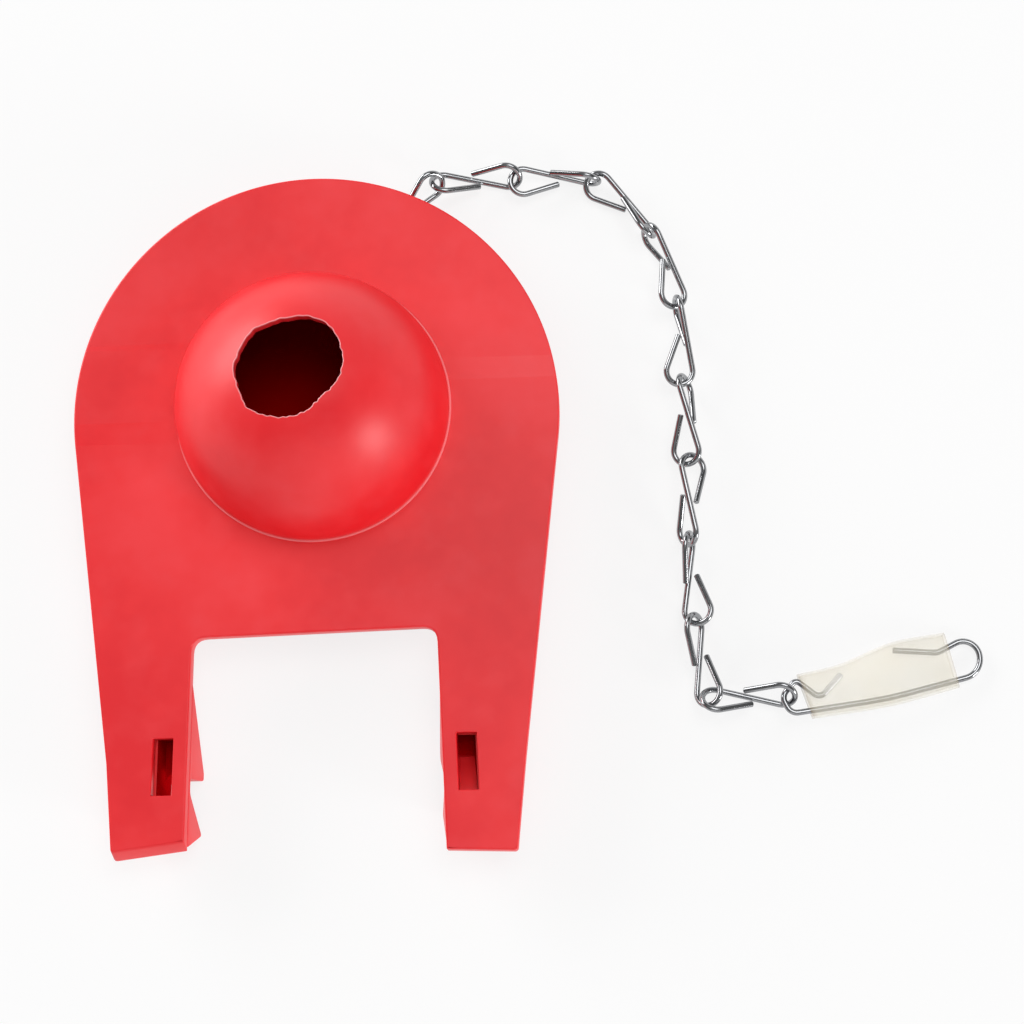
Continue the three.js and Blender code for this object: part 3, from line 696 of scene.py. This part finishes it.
def hole_edge():
    """The hole's edge as (angle, radius) about the bulb's axis, with the bulb pressed back to a circle."""
    knots = []
    for i, reach in enumerate(HOLE_REACH):
        angle = 2 * math.pi * i / len(HOLE_REACH)
        x, y = reach * math.cos(angle), reach * math.sin(angle)
        knots.append(Vector((HOLE_CENTRE[0] + x, HOLE_CENTRE[1] + y)))
    edge = []
    for p in closed_spline(knots, 24):
        x, y = p.x, (p.y - BULB_CENTRE_Y) * ROUND
        edge.append((math.atan2(y, x) % (2 * math.pi), math.hypot(x, y)))
    return sorted(edge)


HOLE_EDGE = hole_edge()


def hole_radius(angle):
    """How far the hole's edge is from the bulb's axis in this direction, with a finely ripped edge."""
    first, last = HOLE_EDGE[0], HOLE_EDGE[-1]
    before = max((e for e in HOLE_EDGE if e[0] <= angle), default=(last[0] - 2 * math.pi, last[1]))
    after = min((e for e in HOLE_EDGE if e[0] > angle), default=(first[0] + 2 * math.pi, first[1]))
    t = (angle - before[0]) / max(1e-9, after[0] - before[0])
    fine = sum(height * math.sin(waves * angle + phase) for height, waves, phase in HOLE_RIPPLES)
    return before[1] + (after[1] - before[1]) * t + fine


def bulb_point(radius, angle, z):
    return (radius * math.cos(angle), BULB_CENTRE_Y + radius * math.sin(angle) / ROUND, z)


def dome_point(radius, height, base_z, angle, latitude):
    return bulb_point(radius * math.cos(latitude), angle, base_z + height * math.sin(latitude))


def make_bulb_mesh():
    """The bulb's shell, from its foot up over the moulding line and ripped rim, and down inside to its floor.

    Beside the mesh it gives each point's mark of painted highlight on the crests of the moulding line and the
    lip, from 0 to 1, and its material slot, which puts painted shade on the inside.
    """
    outer_height = BULB_HEIGHT - BEAD_SIZE
    inner_radius = BULB_RADIUS - BULB_WALL
    floor_z = BULB_FLOOR - PLATE_THICKNESS
    inner_height = BULB_HEIGHT - BULB_WALL - floor_z
    inner_rows = BULB_ROWS // 2
    line = BULB_RADIUS + BEAD_SIZE
    verts, painted_crest_highlight, inside = [], [], []
    columns = []
    for k in range(BULB_SIDES):
        angle = 2 * math.pi * k / BULB_SIDES
        column = []

        def put(point, mark=0.0, slot=0):
            column.append(len(verts))
            verts.append(point)
            painted_crest_highlight.append(mark)
            inside.append(slot)

        put(bulb_point(line + FOOT_FLARE, angle, -FOOT_DEPTH))
        # Painted highlight along the moulding line, strongest on its rounded top
        put(bulb_point(line, angle, BEAD_SIZE * 0.3), 0.1)
        put(bulb_point(line - BEAD_ROUND, angle, BEAD_SIZE * 0.8), 0.6)
        put(bulb_point(BULB_RADIUS, angle, BEAD_SIZE), 0.1)
        edge = hole_radius(angle)
        lip = math.acos(edge / BULB_RADIUS)
        near = lip - LIP_START / BULB_RADIUS
        for s in range(1, BULB_ROWS + 1):
            put(dome_point(BULB_RADIUS, outer_height, BEAD_SIZE, angle, near * s / BULB_ROWS))
        # Painted highlight on the lip's crest and its outer points
        crest = lip - LIP_CREST / BULB_RADIUS
        put(dome_point(BULB_RADIUS, outer_height, BEAD_SIZE, angle, crest), CREST_MARK)
        lip_z = BEAD_SIZE + outer_height * math.sin(lip)
        inner_lip = math.acos(edge / inner_radius)
        inner_z = floor_z + inner_height * math.sin(inner_lip)
        for out, down, mark in LIP_POINTS:
            put(bulb_point(edge + out, angle, lip_z - down), mark)
        for t in (0.3, 0.65):
            put(bulb_point(edge, angle, lip_z + (inner_z - lip_z) * t))
        # From the lip down, the inside carries painted shade
        put(bulb_point(edge + LIP_SPREAD, angle, inner_z), slot=BULB_PAINTED_SHADE)
        for s in range(inner_rows - 1, -1, -1):
            latitude = inner_lip * s / inner_rows
            put(dome_point(inner_radius, inner_height, floor_z, angle, latitude), slot=BULB_PAINTED_SHADE)
        for share in (0.66, 0.33):
            put(bulb_point(inner_radius * share, angle, floor_z), slot=BULB_PAINTED_SHADE)
        columns.append(column)
    faces = []
    for k in range(BULB_SIDES):
        a, b = columns[k], columns[(k + 1) % BULB_SIDES]
        for i in range(len(a) - 1):
            faces.append((a[i], b[i], b[i + 1], a[i + 1]))
    faces.append(tuple(column[-1] for column in columns))
    return verts, faces, painted_crest_highlight, inside


def ear_slots(verts):
    """The material slot of each of an ear's points: the window's walls get painted shade."""
    low, high = SLOT_INNER - SLOT_WALL_REACH, SLOT_OUTER + SLOT_WALL_REACH
    return [WINDOW_PAINTED_SHADE if low < ear_across(*point) < high else 0 for point in verts]


def make_painted_shade_web_mesh():
    """A thin skin of rubber that slopes from the foot of the right window down to its pocket, as painted
    shade in place of the shaded, red-lit floor seen through the window.
    """
    foot_y, foot_z = SLOT_BOTTOM_Y - WEB_OVERLAP, -PLATE_THICKNESS - WEB_TOP
    shares = [s / WEB_ROWS for s in range(WEB_ROWS + 1)]
    rows = [(foot_y + WEB_RUN * t, foot_z - WEB_DROP * t ** WEB_CURVE) for t in shares]
    outline = [(y, z + WEB_ABOVE) for y, z in rows] + [(y, z - WEB_BELOW) for y, z in reversed(rows)]

    def place(y, z, x):
        return ear_lean(x, y, z, RIGHT_EAR_DRAG)

    return prism(outline, SLOT_INNER - WEB_PLAY, SLOT_OUTER + WEB_PLAY, place)


def make_flapper():
    right, left = make_ear_mesh(RIGHT_EAR_DRAG), mirrored(*make_ear_mesh(LEFT_EAR_DRAG))
    *bulb, bulb_crest_highlight, bulb_shade_slots = make_bulb_mesh()
    parts = [
        (make_plate_mesh(), None, None),
        (right, None, ear_slots(right[0])),
        (left, None, ear_slots(left[0])),
        # The web is painted shade in the right window
        (make_painted_shade_web_mesh(), None, None),
        (make_tab_mesh(), None, None),
        (bulb, bulb_crest_highlight, bulb_shade_slots),
    ]
    verts, faces, painted_crest_highlight, inside = [], [], [], []
    for (part_verts, part_faces), part_crest_highlight, part_shade_slots in parts:
        base = len(verts)
        verts += part_verts
        faces += [tuple(i + base for i in face) for face in part_faces]
        painted_crest_highlight += part_crest_highlight or [0.0] * len(part_verts)
        inside += part_shade_slots or [0] * len(part_verts)
    obj = make_object("flapper_moulding", verts, faces, RUBBER, 32)
    obj.data.attributes.new("painted_crest_highlight", "FLOAT", "POINT").data.foreach_set("value", painted_crest_highlight)
    # Painted shade on the bulb's inside and the windows' walls, by material slot
    for material in PAINTED_SHADE_MATERIALS:
        obj.data.materials.append(material)
    for polygon in obj.data.polygons:
        polygon.material_index = min(inside[i] for i in polygon.vertices)
    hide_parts("flapper_body")
    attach(obj, "flapper")


# Wire pieces


def bent_path(corners, step_deg):
    """A wire's centre line through corners (point, radius): straight runs joined by round bends."""
    points = [corners[0][0].copy()]
    for i in range(1, len(corners) - 1):
        at, radius = corners[i]
        before = (corners[i - 1][0] - at).normalized()
        after = (corners[i + 1][0] - at).normalized()
        turn = math.pi - before.angle(after)
        centre = at + (before + after).normalized() * radius / math.cos(turn / 2)
        start = at + before * radius * math.tan(turn / 2)
        axis = after.cross(before).normalized()
        steps = max(2, round(turn / math.radians(step_deg)))
        for s in range(steps + 1):
            points.append(Matrix.Rotation(turn * s / steps, 3, axis) @ (start - centre) + centre)
    points.append(corners[-1][0].copy())
    return points


def even_path(points, longest):
    """The same path with long straight runs divided, so that smooth shading has something to hold."""
    dense = [points[0]]
    for p, q in zip(points, points[1:]):
        steps = max(1, math.ceil((q - p).length / longest))
        dense += [p.lerp(q, s / steps) for s in range(1, steps + 1)]
    return dense


def wire_mesh(points):
    """A round wire along a path, its cut ends slightly rounded."""
    sides = WIRE_SIDES
    tangents = []
    for i in range(len(points)):
        ahead = points[min(i + 1, len(points) - 1)]
        behind = points[max(i - 1, 0)]
        tangents.append((ahead - behind).normalized())
    radius = WIRE / 2
    stations = [(points[0], tangents[0], CUT_SHARE * radius)]
    stations.append((points[0] + tangents[0] * CUT_ROUND, tangents[0], radius))
    stations += [(p, t, radius) for p, t in zip(points[1:-1], tangents[1:-1])]
    stations.append((points[-1] - tangents[-1] * CUT_ROUND, tangents[-1], radius))
    stations.append((points[-1], tangents[-1], CUT_SHARE * radius))
    side = Vector((0.31, 0.52, 0.8)).cross(tangents[0]).normalized()
    verts, faces = [], []
    for point, tangent, r in stations:
        side = (side - tangent * side.dot(tangent)).normalized()
        other = tangent.cross(side)
        for k in range(sides):
            angle = 2 * math.pi * k / sides
            verts.append(point + (side * math.cos(angle) + other * math.sin(angle)) * r)
    for i in range(len(stations) - 1):
        for k in range(sides):
            a, b = i * sides + k, i * sides + (k + 1) % sides
            faces.append((a, b, b + sides, a + sides))
    last = (len(stations) - 1) * sides
    faces.append(tuple(reversed(range(sides))))
    faces.append(tuple(range(last, last + sides)))
    return verts, faces


LINK_REACH = (LINK_LENGTH - WIRE) / 2
FIRST_PULL = Vector((-LINK_REACH, LOOP_RADIUS, 0))
LAST_PULL = Vector((LINK_REACH, 0, -LOOP_RADIUS))
PULL_LENGTH = (LAST_PULL - FIRST_PULL).length


def link_path():
    """The spine along X with a loop at each end, each one arc from its tail's straight run to the spine."""
    rise = WIRE + TAIL_CLEARANCE
    loop_x = -LINK_REACH + LOOP_RADIUS
    tail = Vector((TAIL_OVERLAP - loop_x, rise - LOOP_RADIUS))
    start = math.atan2(tail.y, tail.x) + math.acos(LOOP_RADIUS / tail.length)
    end = 1.5 * math.pi
    steps = round((end - start) / math.radians(8))
    loop = [(TAIL_OVERLAP, rise)]
    for s in range(steps + 1):
        angle = start + (end - start) * s / steps
        loop.append((loop_x + LOOP_RADIUS * math.cos(angle), LOOP_RADIUS + LOOP_RADIUS * math.sin(angle)))
    points = [Vector((x, y, 0)) for x, y in loop] + [Vector((-x, 0, -y)) for x, y in reversed(loop)]
    straighten = (LAST_PULL - FIRST_PULL).normalized().rotation_difference(Vector((1, 0, 0)))
    return [straighten @ (p - FIRST_PULL) for p in even_path(points, 1.0)]


def heading_vector(deg):
    return Vector((math.cos(math.radians(deg)), math.sin(math.radians(deg)), 0))


def next_start(end, heading_before, lay):
    """Where a link starts: back from the last one's end, and moved aside and up as its lay says."""
    heading, _, back, side, lift = lay
    along = (heading_vector(heading_before) + heading_vector(heading)).normalized()
    left = Vector((-along.y, along.x, 0))
    return end - along * back + left * side + Vector((0, 0, lift))


def turned(points, roll, pitch, heading, start):
    """The points turned by roll and heading in degrees and pitch in radians, and moved to the start."""
    turn = Matrix.Rotation(math.radians(heading), 3, "Z")
    turn = turn @ Matrix.Rotation(pitch, 3, "Y") @ Matrix.Rotation(math.radians(roll), 3, "X")
    return [turn @ p + start for p in points]


def make_chain():
    path = link_path()
    land = Vector((0, TAB_EDGE_Y - TAB_HOLE_LAND / 2, CHAIN_Z))
    start = land - heading_vector(CHAIN_LAY[0][0]) * (TAB_THICKNESS / 2 + LOOP_RADIUS * FIRST_BACK)
    end = start
    for i, lay in enumerate(CHAIN_LAY):
        if i:
            start = next_start(end, CHAIN_LAY[i - 1][0], lay)
        verts, faces = wire_mesh(turned(path, lay[1], 0, lay[0], start))
        name = f"link_{i + 1:02d}"
        link = make_object("wire_" + name, verts, faces, STEEL, 40)
        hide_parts(name)
        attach(link, name)
        end = start + heading_vector(lay[0]) * PULL_LENGTH
    return end


BACK_Y = -HALF_HOOK - CLIP_BOW
RETURN_Y = -HALF_HOOK + CLIP_BEND_RADIUS * 2


def clip_path():
    corners = [
        *CLIP_HOOK,
        (CLIP_SPAN / 2, BACK_Y, CLIP_BOW_RADIUS),
        (CLIP_SPAN, -HALF_HOOK, CLIP_BEND_RADIUS * CLIP_LOWER_TURN),
        (CLIP_SPAN, RETURN_Y, CLIP_BEND_RADIUS * CLIP_UPPER_TURN),
        (CLIP_SPAN - CLIP_BEND_RADIUS * 2, RETURN_Y - CLIP_KINK, CLIP_KINK_RADIUS),
        (CLIP_SPAN - CLIP_RETURN, RETURN_Y, 0),
    ]
    return even_path(bent_path([(Vector((x, y, 0)), r) for x, y, r in corners], 8), 0.9)


def curve_points(knots, count):
    """A smooth curve through a few points, sampled evenly by knot."""
    points = []
    spans = len(knots) - 1
    for s in range(count + 1):
        u = s / count * spans
        i = min(int(u), spans - 1)
        t = u - i
        p1, p2 = knots[i], knots[i + 1]
        p0 = knots[i - 1] if i else p1 * 2 - p2
        p3 = knots[i + 2] if i + 2 <= spans else p2 * 2 - p1
        points.append(spline_point(p0, p1, p2, p3, t))
    return points


def sleeve_mesh():
    """The flat tube, which widens towards the clip's wide bend, and each point's mark for its cut ends."""
    margin = WIRE / 2 + SLEEVE_PLAY + SLEEVE_WALL
    middle = CLIP_SPAN / 2
    stations, sides = SLEEVE_STATIONS, SLEEVE_SIDES
    lower = curve_points([
        Vector((SLEEVE_START + 0.5, -HALF_HOOK - 0.2 - margin)),
        Vector((middle, BACK_Y - margin)),
        Vector((SLEEVE_END, -HALF_HOOK - 0.2 - margin)),
    ], stations)
    upper = curve_points([
        Vector((SLEEVE_START - 0.4, HALF_HOOK + 0.6)),
        Vector(((SLEEVE_START + middle) / 2, HALF_HOOK + 0.8)),
        Vector((CLIP_SPAN - CLIP_RETURN, RETURN_Y + margin)),
        Vector((SLEEVE_END - 0.4, RETURN_Y + margin - 0.2)),
    ], stations)

    def flat(v):
        return math.copysign(abs(v) ** 0.45, v)

    def ring(s, inset):
        low, high = lower[s], upper[s]
        across = (high - low).normalized()
        half_width = (high - low).length / 2 - inset
        half_height = SLEEVE_THICKNESS / 2 - inset
        centre = (low + high) / 2
        points = []
        for k in range(sides):
            angle = 2 * math.pi * k / sides
            p = centre + across * half_width * flat(math.cos(angle))
            points.append(Vector((p.x, p.y, half_height * flat(math.sin(angle)))))
        return points

    rings = [ring(s, 0) for s in range(stations + 1)]
    rings += [ring(s, SLEEVE_WALL) for s in range(stations, -1, -1)]
    verts = [p for r in rings for p in r]
    rim = []
    for index in range(len(rings)):
        s = index if index <= stations else 2 * stations + 1 - index
        rim += [1.0 if s in (0, stations) else 0.5 if s == 1 else 0.0] * sides
    faces = []
    for r in range(len(rings)):
        n = (r + 1) % len(rings)
        for k in range(sides):
            j = (k + 1) % sides
            faces.append((r * sides + k, r * sides + j, n * sides + j, n * sides + k))
    return verts, faces, rim


def make_clip(chain_end):
    start = next_start(chain_end, CHAIN_LAY[-1][0], CLIP_LAY)
    pitch = math.asin(CLIP_DROP / CLIP_SPAN)
    verts, faces = wire_mesh(turned(clip_path(), 0, pitch, CLIP_LAY[0], start))
    clip = make_object("wire_clip", verts, faces, STEEL, 40)
    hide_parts("chain_clip")
    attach(clip, "clip")
    verts, faces, rim = sleeve_mesh()
    sleeve = make_object("vinyl_sleeve", turned(verts, 0, pitch, CLIP_LAY[0], start), faces, VINYL, 50)
    attribute = sleeve.data.attributes.new("rim", "FLOAT", "POINT")
    attribute.data.foreach_set("value", rim)
    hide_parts("clip_sleeve")
    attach(sleeve, "clip")


make_flapper()
make_clip(make_chain())


# Floor, light and camera


def make_floor():
    """A pale floor that takes the shadow, and that glows towards the camera and in the wire's reflections."""
    mesh = bpy.data.meshes.new("floor")
    reach = 3.0
    corners = [(-reach, -reach, 0), (reach, -reach, 0), (reach, reach, 0), (-reach, reach, 0)]
    mesh.from_pydata(corners, [], [(0, 1, 2, 3)])
    floor = bpy.data.objects.new("floor", mesh)
    bpy.context.scene.collection.objects.link(floor)
    material, nodes, links, shader = new_material("pale_floor")
    shader.inputs["Base Color"].default_value = (0.93, 0.93, 0.93, 1)
    shader.inputs["Roughness"].default_value = 0.9
    shader.inputs["Specular IOR Level"].default_value = 0.1
    path = nodes.new("ShaderNodeLightPath")
    seen = path.outputs["Is Camera Ray"]
    for ray in ("Is Glossy Ray", "Is Transmission Ray"):
        total = nodes.new("ShaderNodeMath")
        total.operation = "ADD"
        links.new(seen, total.inputs[0])
        links.new(path.outputs[ray], total.inputs[1])
        seen = total.outputs["Value"]
    share = nodes.new("ShaderNodeMath")
    share.operation = "MULTIPLY"
    links.new(seen, share.inputs[0])
    share.inputs[1].default_value = 0.8
    glow = nodes.new("ShaderNodeEmission")
    mix = nodes.new("ShaderNodeMixShader")
    links.new(share.outputs["Value"], mix.inputs["Fac"])
    links.new(shader.outputs["BSDF"], mix.inputs[1])
    links.new(glow.outputs["Emission"], mix.inputs[2])
    links.new(mix.outputs["Shader"], nodes["Material Output"].inputs["Surface"])
    mesh.materials.append(material)


def make_light(name, place, size, power, aim=(0, 0, 0)):
    light = bpy.data.lights.new(name, "AREA")
    light.shape = "RECTANGLE"
    light.size, light.size_y = size
    light.energy = power
    obj = bpy.data.objects.new(name, light)
    bpy.context.scene.collection.objects.link(obj)
    obj.location = place
    obj.rotation_euler = (Vector(aim) - Vector(place)).to_track_quat("-Z", "Y").to_euler()


def make_world():
    """An even studio: pale near the horizon, darker above it and paler again overhead."""
    world = bpy.data.worlds.new("studio")
    bpy.context.scene.world = world
    world.use_nodes = True
    nodes, links = world.node_tree.nodes, world.node_tree.links
    background = nodes["Background"]
    coords = nodes.new("ShaderNodeTexCoord")
    split = nodes.new("ShaderNodeSeparateXYZ")
    links.new(coords.outputs["Generated"], split.inputs["Vector"])
    sky = ramp_node(nodes, links, split.outputs["Z"], [
        (0.0, (0.9, 0.9, 0.9)), (0.28, (0.85, 0.85, 0.85)), (0.36, (0.16, 0.16, 0.16)),
        (0.6, (0.14, 0.14, 0.14)), (0.85, (0.3, 0.3, 0.3)), (1.0, (0.5, 0.5, 0.5))])
    links.new(sky, background.inputs["Color"])
    background.inputs["Strength"].default_value = 1.0


def make_camera():
    camera = bpy.data.cameras.new("camera")
    camera.sensor_width = 36
    camera.lens = 84.375
    camera.clip_start, camera.clip_end = 0.01, 50
    obj = bpy.data.objects.new("camera", camera)
    bpy.context.scene.collection.objects.link(obj)
    right = Vector((0.9983, -0.01684, -0.05576))
    up = Vector((0.0259, 0.98577, 0.16607))
    back = Vector((0.05217, -0.16724, 0.98454))
    place = row_place((50.9, -80.87, 370.21))
    obj.matrix_world = Matrix((
        (right.x, up.x, back.x, place.x),
        (right.y, up.y, back.y, place.y),
        (right.z, up.z, back.z, place.z),
        (0, 0, 0, 1),
    ))
    bpy.context.scene.camera = obj


make_floor()
make_light("key", (-1.0, 0.75, 0.42), (1.1, 0.45), 12.5, (-0.03, 0.02, 0.01))
make_light("spot", (0.82, -0.53, 0.25), (0.26, 0.26), 3.8, (-0.02, 0.0, 0.02))
make_light("front", (0.1, -1.1, 0.7), (1.4, 0.5), 2.5)
make_light("top", (0.3, 0.35, 1.3), (0.8, 0.8), 6)
make_world()
make_camera()
bpy.context.scene.view_settings.view_transform = "Standard"
